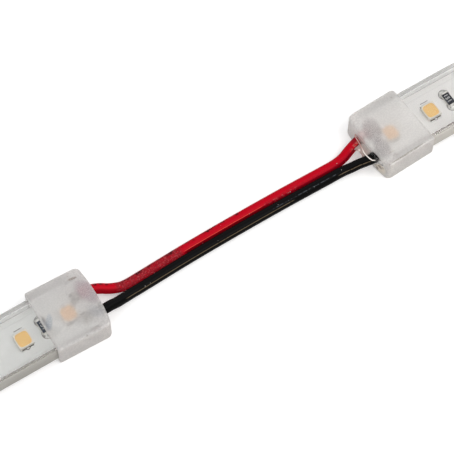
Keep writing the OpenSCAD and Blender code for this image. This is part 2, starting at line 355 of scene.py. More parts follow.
@dataclass(frozen=True)
class Silicone(Finish):
    """Silicone that light passes through, under a skin that scatters a share of it.

    Where a face is bonded to its neighbour, which the attribute "bonded" says, no surface is seen.
    """

    skin: Colour = (0.6, 0.6, 0.6)
    milk: float = 0.0
    through: float = 0.35
    turn_deg: float = 0.0

    def local(self, graph: Graph) -> tuple[Socket, Socket, Socket]:
        """Place in a cap's own frame: distance from its wire end, across it, and height."""
        x, y, z = graph.axes(graph.place())
        c, s = math.cos(math.radians(self.turn_deg)), math.sin(math.radians(self.turn_deg))
        away = abs(x) - 34.25
        return away * c + y * s + 5.05, y * c - away * s, z

    def scatter(self, graph: Graph) -> tuple[Socket, Socket]:
        """Share of the light that the skin scatters, and the skin's colour.

        Args:
            graph: The material's graph.

        Returns:
            The share and the colour.
        """
        raise NotImplementedError

    def surface(self, graph: Graph) -> Socket:
        """Clear silicone, its matt skin and the bonded faces; see Finish.surface."""
        varied = self.pattern(graph)
        share, skin = self.scatter(graph)
        matt = self.shader(graph, varied | {"Transmission Weight": 0.0, "Roughness": 0.6, "Base Color": skin})
        glow = graph.node("ShaderNodeBsdfTranslucent", None, {"Color": (*self.skin, 1)})
        matt = graph.node("ShaderNodeMixShader", None, {0: self.through, 1: matt, 2: glow})
        mixed = graph.node("ShaderNodeMixShader", None, {0: share, 1: self.shader(graph, varied), 2: matt})
        bonded = graph.node("ShaderNodeAttribute", {"attribute_name": "bonded"}, output="Fac")
        through = graph.node("ShaderNodeBsdfTransparent")
        return graph.node("ShaderNodeMixShader", None, {0: bonded, 1: mixed, 2: through})


@dataclass(frozen=True)
class FrostedSilicone(Silicone):
    """Milky moulded silicone of the end caps, with a spark eroded grain, a few stains, patches of painted shade
    where the wires, pads and resistor lie under it, and walls painted darker than the roof.
    """

    marks: tuple[Mark, ...] = ()
    end_marks: tuple[Mark, ...] = ()
    wet: tuple[Mark, ...] = ()
    speckle: float = 0.14
    haze: float = 0.25
    # Painted shade: colour multiplied into the walls below the roof, so that they are darker than the roof.
    wall_painted_shade: Colour = (0.84, 0.82, 0.8)

    def wetness(self, graph: Graph) -> Socket:
        """Where clear glue wets the frosted wire end, so that it is seen through; 1 there."""
        u, v, z = self.local(graph)
        wetness = u * 0.0
        for mark in self.wet:
            wetness = wetness.larger(graph.spot(v, z, mark.centre, mark.half, mark.turn_deg) * mark.depth)
        return wetness * u.step(0.5, 0.3)

    def pattern(self, graph: Graph) -> dict[str, Socket]:
        """Cloudy colour, uneven frost and a fine grain; see Finish.pattern."""
        place = graph.place()
        cloud, grain = graph.noise(place, 0.35, 3), graph.noise(place, 5, 3)
        height = (grain * 0.15 + graph.noise(place, 1.1, 1) * 0.2) * (1 - self.wetness(graph))
        return {
            "Base Color": graph.mix(cloud.step(0.3, 0.75), self.colour, tuple(0.93 * c for c in self.colour)),
            "Roughness": (grain * 0.12 + (self.roughness - 0.06)) * (1 - self.wetness(graph) * 0.85),
            "Normal": graph.bump(height, 0.02),
        }

    def scatter(self, graph: Graph) -> tuple[Socket, Socket]:
        """More milk at the walls and the mouth, stains and patches of painted shade in the skin, and walls painted
        darker than the roof; see Silicone.scatter.
        """
        place = graph.place()
        x, y, _ = graph.axes(place)
        u, v, z = self.local(graph)
        grain, cloud = graph.noise(place, 5.5, 3), graph.noise(place, 0.5, 2)
        mouth = u.step(10.25, 10.45)
        wall = abs(v).step(5.9, 6.3).larger(z.step(0.6, 0.3))
        speck = graph.noise(place, 3.2, 0).step(0.35, 0.65)
        skin = graph.mix(speck, tuple(0.78 * c for c in self.skin), tuple(min(1, 1.08 * c) for c in self.skin))
        # Painted shade: the walls below the roof are multiplied by a darker colour.
        shaded_walls = graph.node("ShaderNodeMix", {"data_type": "RGBA", "blend_type": "MULTIPLY"},
                          {0: z.step(5.15, 4.7), 6: skin, 7: (*self.wall_painted_shade, 1)}, 2)
        skin = shaded_walls
        share = (cloud - 0.5) * 0.15 + (speck - 0.5) * self.speckle + self.milk
        share = share + wall * 0.25 + u.step(3.4, 1.2) * self.haze
        # Marks from above: stains, and patches of painted shade where the wires, pads and resistor lie under the
        # cap.
        for mark in self.marks:
            mask = graph.spot(x, y, mark.centre, mark.half, mark.turn_deg) * grain.step(0.2, 0.6)
            mask = mask * z.step(mark.above - 0.2, mark.above + 0.1) * mark.depth
            skin, share = graph.mix(mask, skin, mark.colour), share + mask * 0.4
        for mark in self.end_marks:
            mask = graph.spot(v, z, mark.centre, mark.half, mark.turn_deg) * u.step(0.3, 0.1) * mark.depth
            skin, share = graph.mix(mask, skin, mark.colour), share + mask * 0.4
        return share.larger(mouth * 0.6) * (1 - self.wetness(graph)), skin


@dataclass(frozen=True)
class ClearSilicone(Silicone):
    """Clear silicone tube over a strip, matt on its sides."""

    ripple: float = 0.004
    side: float = 0.9

    def pattern(self, graph: Graph) -> dict[str, Socket]:
        """Faint clouds and low waves; see Finish.pattern."""
        place = graph.place()
        waves, grain = graph.noise(place, 0.9, 2), graph.noise(place, 7, 2)
        return {
            "Base Color": graph.mix(grain * 0.25, self.colour, tuple(0.94 * c for c in self.colour)),
            "Roughness": grain * 0.03 + self.roughness,
            "Normal": graph.bump(waves * 0.85 + grain * 0.15, self.ripple),
        }

    def scatter(self, graph: Graph) -> tuple[Socket, Socket]:
        """Matt sides with drawn streaks, painted paler on the far side than on the near side, as painted light and
        shade; see Silicone.scatter.
        """
        place = graph.place()
        _, y, z = graph.axes(place)
        drawn, grain = graph.noise(place, 1.5, 3, (0.12, 1, 1)), graph.noise(place, 6, 2)
        side = abs(y).step(5.5, 5.62) * z.step(4.6, 4.42)
        # Painted light and shade: the far side takes the pale colour, and the near side keeps the dark side skin.
        far = y.step(0, 1)
        streaks = drawn.step(0.3, 0.7) * 0.6 + grain * 0.4
        skin = graph.mix(streaks, tuple(0.85 * c for c in self.skin), self.skin)
        skin = graph.mix(far, skin, self.colour)
        return side * (self.side - far * 0.4), skin


@dataclass(frozen=True)
class Sealant(ClearSilicone):
    """Glue in the wire slot: milky between the wires, paler on top, clear at the black wire, with painted glints on
    top.
    """

    pale: Colour = (0.9, 0.86, 0.83)
    # Pale spots painted on the glue as highlights.
    painted_glints: tuple[Mark, ...] = ()

    def scatter(self, graph: Graph) -> tuple[Socket, Socket]:
        """Milk and painted glints; see Silicone.scatter."""
        x, y, z = graph.axes(graph.place())
        skin = graph.mix(z.step(2.7, 3.2), self.skin, self.pale)
        share = y.step(-2.3, -1.1) * self.milk
        for glint in self.painted_glints:
            mask = graph.spot(x, y, glint.centre, glint.half) * glint.depth
            skin, share = graph.mix(mask, skin, glint.colour), share.larger(mask)
        return share, skin


@dataclass(frozen=True)
class StrandGlue(Finish):
    """Set glue of the wiped strand, white over the black wire and pink over the red one."""

    pink: Colour = (0.62, 0.36, 0.33)

    def pattern(self, graph: Graph) -> dict[str, Socket]:
        """White to pink across the strip; see Finish.pattern."""
        _, y, _ = graph.axes(graph.place())
        varied = super().pattern(graph)
        return varied | {"Base Color": graph.mix(y.step(-0.9, 0.6), varied["Base Color"], self.pink)}


@dataclass(frozen=True)
class SolderMask(Finish):
    """White ink over the copper of a flexible board, whose cut edges show the brown film."""

    edge: Colour = (0.08, 0.015, 0.006)
    edge_at: float = 4.985
    # On the near side the brown band reaches about 0.18 mm in over the top, for a darker line along that edge.
    near_edge_at: float = 4.82
    track_at: float = 3.9
    # Colour of the painted contact shade round the pads and beyond the leads.
    rim: Colour = (0.13, 0.1, 0.085)
    pad_r: float = 1.03
    leds: tuple[float, ...] = (-43.7, 43.7)
    frayed_y: float = -4.65
    frayed_colour: Colour = (0.08, 0.018, 0.01)
    pads: tuple[tuple[float, float], ...] = ((-39.4, 1.8), (-39.4, -1.0), (48.0, 1.8), (48.0, -1.0))

    def rims(self, graph: Graph, x: Socket, y: Socket) -> tuple[Socket, Socket]:
        """Broken dark lines of painted contact shade where the ink ends: round the round pads and beyond the LEDs'
        leads.

        Args:
            graph: The material's graph.
            x: X in millimetres.
            y: Y in millimetres.

        Returns:
            1 on the lines, and 1 on the frayed edge of the film at the right end.
        """
        wavy = graph.noise(graph.place(), 1.8, 2)
        lines = 0.0
        for px, py in self.pads:
            away = ((x - px) ** 2 + (y - py) ** 2) ** 0.5 + wavy * 0.06 - 0.03
            lines = abs(away - self.pad_r).step(0.1, 0.03) * 0.85 + lines
        for led in self.leds:
            line = abs(y + wavy * 0.1 - 2.46).step(0.1, 0.05)
            lines = line * abs(x - led - 0.15).step(0.9, 0.75) * 0.9 + lines
        torn = graph.noise(graph.place(), 1.3, 1)
        frayed = abs(y - self.frayed_y + (torn - 0.5) * 1.7).step(0.3, 0.2) * x.step(0, 1)
        return lines * wavy.step(0.25, 0.42), frayed * wavy.step(0.24, 0.3)

    def pattern(self, graph: Graph) -> dict[str, Socket]:
        """Ink over tracks, thinner at the gaps between them, and brown edges; see Finish.pattern."""
        place = graph.place()
        x, y, z = graph.axes(place)
        grain = graph.noise(place, 5, 2)
        gap = abs(abs(y) - self.track_at).step(0.16, 0.06)
        ink = graph.mix(grain * 0.35, self.colour, tuple(0.95 * c for c in self.colour))
        ink = graph.mix(gap * 0.18, ink, tuple(0.75 * c for c in self.colour))
        # The rims are painted contact shade; the frayed line is the torn film.
        rims, frayed = self.rims(graph, x, y)
        ink = graph.mix(frayed, graph.mix(rims, ink, self.rim), self.frayed_colour)
        side = y.step(self.edge_at, self.edge_at + 0.01).larger(
            y.step(-self.near_edge_at, -self.near_edge_at - 0.01))
        under = z.step(1.87, 1.855)
        return {
            "Base Color": graph.mix(side.larger(under), ink, self.edge),
            "Roughness": grain * 0.1 + self.roughness,
            "Normal": graph.bump(1 - gap, 0.02),
        }


@dataclass(frozen=True)
class Streak:
    """A band along a wire, from start to end in X and from low to high in its share of the turn; some bands are
    painted highlights, sheen and shade.
    """

    start: float
    end: float
    low: float
    high: float
    colour: Colour
    share: float = 0.8
    soft: float = 0.006
    broken: float = 0.0
    grain: float = 4.0


@dataclass(frozen=True)
class Insulation(Finish):
    """Extruded wire insulation with its die lines, scuffs, dust, and streaks of which some are painted highlights,
    sheen and shade; a turn starts at -Y and runs under.
    """

    scuff: Colour = (0.3, 0.05, 0.06)
    scuff_share: float = 0.3
    dust: Colour = (0.5, 0.47, 0.45)
    groove: float = 0.012
    streaks: tuple[Streak, ...] = ()

    def pattern(self, graph: Graph) -> dict[str, Socket]:
        """Streaks, some of them painted highlights, sheen and shade, scuffs drawn out along the wire, pits and
        specks of dust; see Finish.pattern.
        """
        place = graph.place()
        x, _, _ = graph.axes(place)
        around = graph.node("ShaderNodeAttribute", {"attribute_name": "around"}, output="Fac")
        drawn = graph.noise(place, 1.4, 4, (0.35, 1, 1))
        pits = graph.noise(place, 4.5, 3, (0.6, 1, 1))
        worn = drawn.step(0.5, 0.75)
        colour = graph.mix(worn * self.scuff_share, self.colour, self.scuff)
        scuffed = worn * 0.2
        # Some streaks are painted highlights, sheen and shade.
        for streak in self.streaks:
            mask = x.within(streak.start, streak.end, 0.5) * around.within(streak.low, streak.high, streak.soft)
            if streak.broken:
                speckle = graph.noise(place, streak.grain, 3, (0.6, 1, 1))
                mask = mask * speckle.step(streak.broken - 0.06, streak.broken + 0.06)
            colour = graph.mix(mask * streak.share, colour, streak.colour)
        specks = graph.noise(place, 2.6, 1).step(0.785, 0.8)
        return {
            "Base Color": graph.mix(specks, colour, self.dust),
            "Roughness": scuffed + pits * 0.1 + (self.roughness - 0.05),
            "Normal": graph.bump(pits * 0.7 + drawn * 0.3, self.groove),
        }


@dataclass(frozen=True)
class Phosphor(Finish):
    """Gel over the LED die, filled with yellow phosphor grains, in a cup with round corners."""

    cup: Colour = (0.86, 0.8, 0.7)
    cup_half: tuple[float, float] = (1.25, 1.39)

    def pattern(self, graph: Graph) -> dict[str, Socket]:
        """Grains, and the pale wall of the cup at the corners; see Finish.pattern."""
        place = graph.place()
        x, y, _ = graph.axes(place)
        along, across = abs(from_led(x)) / self.cup_half[0], abs(y) / self.cup_half[1]
        wall = (along ** 4 + across ** 4).step(0.85, 1.15)
        grain = graph.noise(place, 9, 2)
        pale = tuple(min(1, c * 1.12 + 0.02) for c in self.colour)
        deep = (self.colour[0] * 0.97, self.colour[1] * 0.9, self.colour[2] * 0.8)
        return {
            "Base Color": graph.mix(wall, graph.mix(grain.step(0.3, 0.7), deep, pale), self.cup),
            "Roughness": grain * 0.1 + self.roughness,
            "Normal": graph.bump(grain, 0.01),
        }


@dataclass(frozen=True)
class SolderMetal(Finish):
    """Solder or tin, bright where it is smooth and grey where flux has dulled it."""

    dull: Colour = (0.12, 0.11, 0.1)

    def pattern(self, graph: Graph) -> dict[str, Socket]:
        """Dull patches and a grainy skin; see Finish.pattern."""
        place = graph.place()
        patch, grain = graph.noise(place, 2.2, 3), graph.noise(place, 10, 2)
        worn = patch.step(0.42, 0.62)
        return {
            "Base Color": graph.mix(worn * 0.7, self.colour, self.dull),
            "Roughness": worn * 0.25 + grain * 0.1 + self.roughness,
            "Normal": graph.bump(grain * 0.4 + patch * 0.6, 0.03),
        }


@dataclass(frozen=True)
class InkedSolder(SolderMetal):
    """Solder that the white ink and the lacquer cover at the LEDs, and that is bare elsewhere; a dark line of
    painted shade runs along the near side of each LED.
    """

    ink: Colour = (0.8, 0.8, 0.79)
    line: Colour = (0.1, 0.08, 0.07)
    line_y: float = -1.74
    dip: float = 0.2

    def pattern(self, graph: Graph) -> dict[str, Socket]:
        """White at the LEDs, with a dark line of painted shade that dips at the middle; see Finish.pattern."""
        varied = super().pattern(graph)
        x, y, _ = graph.axes(graph.place())
        off = from_led(x)
        inked = abs(off).step(1.4, 1.25)
        # Painted shade: a dark line along the near side of the housing, dipping outwards round the lead at the
        # middle.
        line = abs(y - self.line_y + abs(off).step(0.55, 0.1) * self.dip).step(0.09, 0.04)
        cover = graph.mix(line * graph.noise(graph.place(), 1.8, 2).step(0.25, 0.45), self.ink, self.line)
        return {
            "Base Color": graph.mix(inked, varied["Base Color"], cover),
            "Roughness": varied["Roughness"] + inked * 0.3,
            "Metallic": (1 - inked) * self.metallic,
            "Normal": varied["Normal"],
        }


@dataclass(frozen=True)
class LeadFrame(Finish):
    """Leads of the LEDs, painted dark as shade where they stick out, and painted white under the housing, to
    lighten the shaded gap there.
    """

    ink: Colour = (0.8, 0.8, 0.79)
    out_y: float = 1.53

    def pattern(self, graph: Graph) -> dict[str, Socket]:
        """Dark ends as painted shade, and white under the housing as painted light; see Finish.pattern."""
        _, y, _ = graph.axes(graph.place())
        varied = super().pattern(graph)
        # Painted shade on the ends that stick out, painted light on the rest.
        out = abs(y).step(self.out_y - 0.02, self.out_y + 0.02)
        return varied | {"Base Color": graph.mix(out, self.ink, varied["Base Color"])}


def from_led(x: Socket) -> Socket:
    """Distance along the strip from the nearest LED's middle, for X in millimetres."""
    return abs(abs(x) - LED_MIDDLE) - LED_HALF_PITCH


def in_metres(points: Sequence[Point]) -> list[Vector]:
    """Points in millimetres as vectors in metres."""
    return [Vector(p) * MM for p in points]


def add_object(name: str, data: bpy.types.ID) -> bpy.types.Object:
    """Puts an object with that data into the scene, at the origin."""
    made = bpy.data.objects.new(name, data)
    bpy.context.scene.collection.objects.link(made)
    return made


def loft(name: str, rings: Sequence[Sequence[Point]]) -> bpy.types.Object:
    """Skins a closed solid through rings of equally many points.

    Args:
        name: Name of the object.
        rings: Rings in order, in millimetres; the first and the last are closed by a flat face.

    Returns:
        The solid, with its faces turned outwards.
    """
    shape = bmesh.new()
    rows = [[shape.verts.new(p) for p in in_metres(ring)] for ring in rings]
    count = len(rows[0])
    for low, high in zip(rows, rows[1:]):
        for i in range(count):
            j = (i + 1) % count
            shape.faces.new((low[i], low[j], high[j], high[i]))
    shape.faces.new(list(reversed(rows[0])))
    shape.faces.new(rows[-1])
    bmesh.ops.remove_doubles(shape, verts=shape.verts, dist=0.002 * MM)
    bmesh.ops.recalc_face_normals(shape, faces=shape.faces)
    mesh = bpy.data.meshes.new(name)
    shape.to_mesh(mesh)
    shape.free()
    return add_object(name, mesh)


def settle(piece: bpy.types.Object, crease_deg: float = 35) -> bpy.types.Object:
    """Turns a piece with its modifiers into a plain mesh.

    Args:
        piece: The piece, whose modifiers are used up.
        crease_deg: Edges sharper than this stay sharp in the shading.

    Returns:
        The same piece.
    """
    graph = bpy.context.evaluated_depsgraph_get()
    mesh = bpy.data.meshes.new_from_object(piece.evaluated_get(graph))
    mesh.name = piece.name
    piece.modifiers.clear()
    if piece.type == "MESH":
        piece.data = mesh
    else:
        name = piece.name
        bpy.data.objects.remove(piece)
        piece = add_object(name, mesh)
    mesh.shade_smooth()
    mesh.set_sharp_from_angle(angle=math.radians(crease_deg))
    return piece


def carve(body: bpy.types.Object, *cutters: bpy.types.Object) -> bpy.types.Object:
    """Cuts solids out of a body and deletes them.

    Args:
        body: What is cut.
        cutters: The solids to take away.

    Returns:
        The body as a plain mesh.
    """
    for cutter in cutters:
        cut = body.modifiers.new("cut", "BOOLEAN")
        cut.operation, cut.solver, cut.object = "DIFFERENCE", "EXACT", cutter
    settle(body)
    for cutter in cutters:
        bpy.data.objects.remove(cutter)
    return body


def sweep_tree(material: bpy.types.Material) -> bpy.types.NodeTree:
    """Geometry nodes that sweep a round wire with a thin bond fin along a line.

    Args:
        material: The wire's material.

    Returns:
        The node tree, with inputs for the radius, the sides and the fin.
    """
    tree = bpy.data.node_groups.new("wire_sweep", "GeometryNodeTree")
    face = tree.interface
    face.new_socket("Geometry", in_out="INPUT", socket_type="NodeSocketGeometry")
    for name, kind in (("Radius", "NodeSocketFloat"), ("Sides", "NodeSocketInt"),
                       ("Fin height", "NodeSocketFloat"), ("Fin side", "NodeSocketFloat")):
        face.new_socket(name, in_out="INPUT", socket_type=kind)
    face.new_socket("Geometry", in_out="OUTPUT", socket_type="NodeSocketGeometry")
    graph = Graph(tree)
    given = tree.nodes.new("NodeGroupInput").outputs
    line, radius, sides, height, side = (Socket(graph, given[i]) for i in range(5))
    circle = graph.node("GeometryNodeCurvePrimitiveCircle", None, {"Resolution": sides, "Radius": radius})
    share = graph.node("GeometryNodeSplineParameter", output="Factor")
    named = graph.node("GeometryNodeStoreNamedAttribute", {"data_type": "FLOAT", "domain": "POINT"},
                       {"Geometry": circle, "Name": "around", "Value": share})
    tube = graph.node("GeometryNodeCurveToMesh", None,
                      {"Curve": line, "Profile Curve": named, "Fill Caps": True}, "Mesh")
    around = graph.node("GeometryNodeInputNamedAttribute", {"data_type": "FLOAT"},
                        {"Name": "around"}, "Attribute")
    facing = around.math("COSINE", around * math.tau) * side
    lift = facing.larger(0.0) ** 60 * height
    normal = graph.node("GeometryNodeInputNormal", output="Normal")
    offset = graph.node("ShaderNodeVectorMath", {"operation": "SCALE"}, {0: normal, 3: lift})
    shaped = graph.node("GeometryNodeSetPosition", None, {"Geometry": tube, "Offset": offset})
    real = graph.node("GeometryNodeRealizeInstances", None, {"Geometry": shaped})
    painted = graph.node("GeometryNodeSetMaterial", None, {"Geometry": real, "Material": material})
    out = tree.nodes.new("NodeGroupOutput")
    tree.links.new(painted.socket, out.inputs[0])
    return tree


def smooth(points: Sequence[Vector], step: float) -> list[Vector]:
    """Finer points on a curve through the given ones.

    Args:
        points: The route.
        step: About the distance between the new points.

    Returns:
        The new points, ends included.
    """
    ends = [2 * points[0] - points[1], *points, 2 * points[-1] - points[-2]]
    fine = [points[0]]
    for a, b, c, d in zip(ends, ends[1:], ends[2:], ends[3:]):
        steps = max(1, round((c - b).length / step))
        for t in (i / steps for i in range(1, steps + 1)):
            fine.append(0.5 * (2 * b + (c - a) * t + (2 * a - 5 * b + 4 * c - d) * t * t
                               + (3 * b - a - 3 * c + d) * t ** 3))
    return fine


def sweep(name: str, route: Sequence[Vector], finish: Finish, radius: float, sides: int,
          fin: tuple[float, float] = (0, 0)) -> bpy.types.Object:
    """Sweeps a round tube along points in millimetres.

    Args:
        name: Name of the piece.
        route: The points.
        finish: Its finish.
        radius: Radius of the tube.
        sides: Number of its sides.
        fin: Height of the fin along it, and 1 or -1 for the side that it is on.

    Returns:
        The tube as a plain mesh.
    """
    curve = bpy.data.curves.new(name + "_line", "CURVE")
    curve.dimensions, curve.twist_mode = "3D", "Z_UP"
    spline = curve.splines.new("POLY")
    spline.points.add(len(route) - 1)
    for point, place in zip(spline.points, route):
        point.co = (*(place * MM), 1)
    line = add_object(name, curve)
    swept = line.modifiers.new("sweep", "NODES")
    swept.node_group = sweep_tree(finish.build())
    values = {"Radius": radius * MM, "Sides": sides, "Fin height": fin[0] * MM, "Fin side": float(fin[1])}
    for item in swept.node_group.interface.items_tree:
        if item.in_out == "INPUT" and item.name in values:
            swept[item.identifier] = values[item.name]
    return settle(line, 60)


def corner(centre: tuple[float, float], radius: float, start_deg: float, steps: int) -> list:
    """Quarter turn of points round a centre, in the plane.

    Args:
        centre: Middle of the arc.
        radius: Its radius.
        start_deg: Angle of its first point.
        steps: Number of steps.

    Returns:
        The points.
    """
    angles = [math.radians(start_deg + 90 * i / steps) for i in range(steps + 1)]
    return [(centre[0] + radius * math.cos(a), centre[1] + radius * math.sin(a)) for a in angles]


def rounded_section(width: float, low: float, high: float, radius: float, steps: int = 6) -> list:
    """Outline of a rounded bar across the strip.

    Args:
        width: Its width, centred on Y = 0.
        low: Height of its underside.
        high: Height of its top.
        radius: Radius of its corners.
        steps: Steps to a corner.

    Returns:
        Points (y, z), turning from +Y to +Z.
    """
    y = width / 2 - radius
    return (corner((y, low + radius), radius, -90, steps) + corner((y, high - radius), radius, 0, steps)
            + corner((-y, high - radius), radius, 90, steps)
            + corner((-y, low + radius), radius, 180, steps))


def oval_section(pitch: float, height: float, level: float, grow: float = 0, steps: int = 16) -> list:
    """Outline of the flat oval that holds both wires.

    Args:
        pitch: Distance between the wires.
        height: Height of the oval.
        level: Height of its middle.
        grow: Added all round.
        steps: Steps to a quarter turn.

    Returns:
        Points (y, z).
    """
    radius = height / 2 + grow
    right = corner((pitch / 2, level), radius, -90, steps) + corner((pitch / 2, level), radius, 0, steps)
    left = corner((-pitch / 2, level), radius, 90, steps) + corner((-pitch / 2, level), radius, 180, steps)
    return right + left


@dataclass
class Piece:
    """What every modelled skin shares: its end, its finish and the node that it stands for."""

    end: End
    finish: Finish
    slot: str

    lead_gap: float = 58.4
    wire_z: float = 2.62
    exit_pitch: float = 4.5
    turn_deg: float = 0.0
    turn_u: float = 5.05

    def at(self, u: float, y: float, z: float) -> Point:
        """Point from its distance along the strip from the cap's wire end.

        Args:
            u: That distance.
            y: Place across the strip.
            z: Height.

        Returns:
            The point, turned with the piece about the middle of the cap.
        """
        c, s = math.cos(math.radians(self.turn_deg)), math.sin(math.radians(self.turn_deg))
        away = u - self.turn_u
        return (self.end.value * (self.lead_gap / 2 + self.turn_u + away * c - y * s), away * s + y * c, z)

    def rings(self, rows: Sequence[tuple[float, Sequence[tuple[float, float]]]],
              straight: bool = False) -> list[list[Point]]:
        """Rings across the strip.

        Args:
            rows: Pairs of u and outline.
            straight: Whether they keep to the strip instead of turning with the cap.

        Returns:
            The rings' points.
        """
        turn = 0 if straight else self.turn_deg
        piece = replace(self, turn_deg=turn)
        return [[piece.at(u, y, z) for y, z in outline] for u, outline in rows]

    def bonded(self, u: float, y: float, z: float) -> bool:
        """Whether a face there, in the piece's own frame, is bonded to its neighbour."""
        return False

    def mark_bonds(self, piece: bpy.types.Object) -> None:
        """Writes which faces are bonded into the attribute that the finish reads."""
        c, s = math.cos(math.radians(self.turn_deg)), math.sin(math.radians(self.turn_deg))
        marks = piece.data.attributes.new("bonded", "FLOAT", "FACE")
        for face, mark in zip(piece.data.polygons, marks.data):
            x, y, z = face.center / MM
            away = abs(x) - self.lead_gap / 2 - self.turn_u
            mark.value = self.bonded(self.turn_u + away * c + y * s, y * c - away * s, z)

    def dress(self, piece: bpy.types.Object, node: str) -> bpy.types.Object:
        """Gives a skin its finish and ties it to the frame.

        Args:
            piece: The finished mesh.
            node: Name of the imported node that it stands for, without the end's prefix.

        Returns:
            The same piece.
        """
        self.mark_bonds(piece)
        piece.data.materials.clear()
        piece.data.materials.append(self.finish.build())
        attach(piece, BODY)
        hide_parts(self.end.prefix + node)
        LOG.info("%s: %d faces", piece.name, len(piece.data.polygons))
        return piece


@dataclass
class EndCap(Piece):
    """Soft moulded cap with a socket for the strip and an oval slot for the wires."""

    length: float = 10.6
    width: float = 13.0
    height: float = 5.3
    dome: float = 0.5
    corner_r: float = 1.2
    mouth_r: float = 0.3
    far_mouth_r: float = 0.3
    top_r: float = 0.5
    bottom_r: float = 0.2
    groove: float = 0.15
    groove_z: float = 2.5
    socket_w: float = 11.6
    socket_low: float = 0.85
    socket_high: float = 4.75
    socket_r: float = 0.4
    end_wall: float = 1.3
    slot_h: float = 2.9

    @property
    def dome_r(self) -> float:
        """Radius of the bulged wire end, seen from above."""
        return round((self.width / 2) ** 2 / (2 * self.dome) + self.dome / 2)

    def dome_u(self, y: float, inset: float) -> float:
        """Place of the bulged wire end at y, pulled in by inset."""
        reach = self.dome_r - inset
        return self.dome_r - self.dome - math.sqrt(reach * reach - y * y)

    def outline(self, inset: float, groove: float) -> list[tuple[float, float]]:
        """Outline of the cap seen from above.

        Args:
            inset: How far it is pulled in all round.
            groove: How much deeper the wire end lies, for the parting groove.

        Returns:
            Points (u, y), turning from the mouth round to the wire end.
        """
        side = self.width / 2 - inset
        mouths = [max(radius - inset, 0.04) for radius in (self.mouth_r, self.far_mouth_r)]
        end = max(self.corner_r - inset, 0.04)
        far, near = self.length - inset, self.dome_u(side - end, inset) + end
        points = (corner((far - mouths[0], mouths[0] - side), mouths[0], -90, 6)
                  + corner((far - mouths[1], side - mouths[1]), mouths[1], 0, 6))
        points += corner((near, side - end), end, 90, 10)
        points += [(self.dome_u(y, inset), y) for y in
                   ((side - end) * (1 - 2 * i / 24) for i in range(1, 24))]
        points += corner((near, end - side), end, 180, 10)
        return [(max(u, self.dome_u(y, inset + groove)), y) for u, y in points]

    def bonded(self, u: float, y: float, z: float) -> bool:
        """The socket and the wire slot are filled; see Piece.bonded."""
        socket = self.end_wall - 0.1 < u < self.length - 0.15 and abs(y) < self.width / 2 - 0.35
        slot = -0.25 < u < self.end_wall and abs(y) < (self.exit_pitch + self.slot_h) / 2 + 0.02
        return 0.4 < z < self.height - 0.4 and (socket or slot)

    def rows(self) -> list[tuple[float, float, float]]:
        """Rows of the outer skin from the underside up: inset, depth of the groove and height."""
        low = [(self.bottom_r * (1 - math.sin(a)), 0, self.bottom_r * (1 - math.cos(a)))
               for a in (math.radians(22.5 * i) for i in range(5))]
        high = [(self.top_r * (1 - math.cos(a)), 0, self.height - self.top_r * (1 - math.sin(a)))
                for a in (math.radians(11.25 * i) for i in range(9))]
        groove = [(0, self.groove - abs(d), self.groove_z + d)
                  for d in (-self.groove, -self.groove / 2, 0, self.groove / 2, self.groove)]
        return low + groove + high + [(self.top_r + 0.3, 0, self.height)]

    def build(self) -> bpy.types.Object:
        """Models the cap.

        Returns:
            The cap's skin.
        """
        name = self.end.prefix + "cap_skin"
        rings = [[self.at(u, y, z) for u, y in self.outline(inset, groove)]
                 for inset, groove, z in self.rows()]
        socket = [(self.end_wall, 0), (self.length - 0.2, 0), (self.length, 0.1), (self.length + 1, 0.3)]
        socket_rows = [(u, rounded_section(self.socket_w + 2 * g, self.socket_low - g,
                                           self.socket_high + g, self.socket_r)) for u, g in socket]
        slot = [(self.end_wall + 0.1, 0), (-0.3, 0), (-0.42, 0.05), (-0.6, 0.22), (-1.5, 0.9)]
        slot_rows = [(u, oval_section(self.exit_pitch, self.slot_h, self.wire_z, g)) for u, g in slot]
        cap = carve(loft(name, rings), loft("socket", self.rings(socket_rows, straight=True)),
                    loft("wire_slot", self.rings(slot_rows)))
        return self.dress(cap, "cap")


@dataclass
class StripSleeve(Piece):
    """Clear silicone tube round a strip, cut back over the wire pads."""

    start: float = 1.75
    cut_back: float = 3.8
    reach: float = 24.8
    width: float = 11.4
    low: float = 0.85
    high: float = 4.65
    radius: float = 0.4
    bore_w: float = 10.1
    bore_low: float = 1.845
    bore_high: float = 4.1
    bore_r: float = 0.3
    cap_l: float = 10.6
    cap_turn_deg: float = 0.0

    def mouth_u(self, y: float) -> float:
        """Place of the askew cap's mouth at y."""
        turn = math.radians(self.cap_turn_deg)
        return self.turn_u + (self.cap_l - 0.1 - self.turn_u - y * math.sin(turn)) / math.cos(turn)

    def bonded(self, u: float, y: float, z: float) -> bool:
        """The skin is bonded inside the cap, and the bore isn't; see Piece.bonded."""
        bore = abs(y) < self.bore_w / 2 + 0.05 and self.bore_low - 0.05 < z < self.bore_high + 0.05
        return u < self.mouth_u(y) and (u < self.cut_back + 0.05 or not bore)

    def build(self) -> bpy.types.Object:
        """Models the sleeve as a tube with air over the board.

        Returns:
            The sleeve's skin.
        """
        full = rounded_section(self.width, self.low, self.high, self.radius)
        tray = [(y, min(z, self.bore_low)) for y, z in full]
        rows = [(self.start, tray), (self.cut_back, tray), (self.cut_back, full), (self.reach, full)]
        rings = self.rings(rows)
        rings.insert(3, [self.at(self.mouth_u(y), y, z) for y, z in full])
        bore = rounded_section(self.bore_w, self.bore_low, self.bore_high, self.bore_r)
        bore = [(y, z if z > self.bore_low + self.bore_r else self.bore_low) for y, z in bore]
        hollow = [(self.cut_back - 0.5, bore), (self.reach + 0.5, bore)]
        sleeve = carve(loft(self.end.prefix + "sleeve_skin", rings), loft("bore", self.rings(hollow)))
        return self.dress(sleeve, "sleeve")


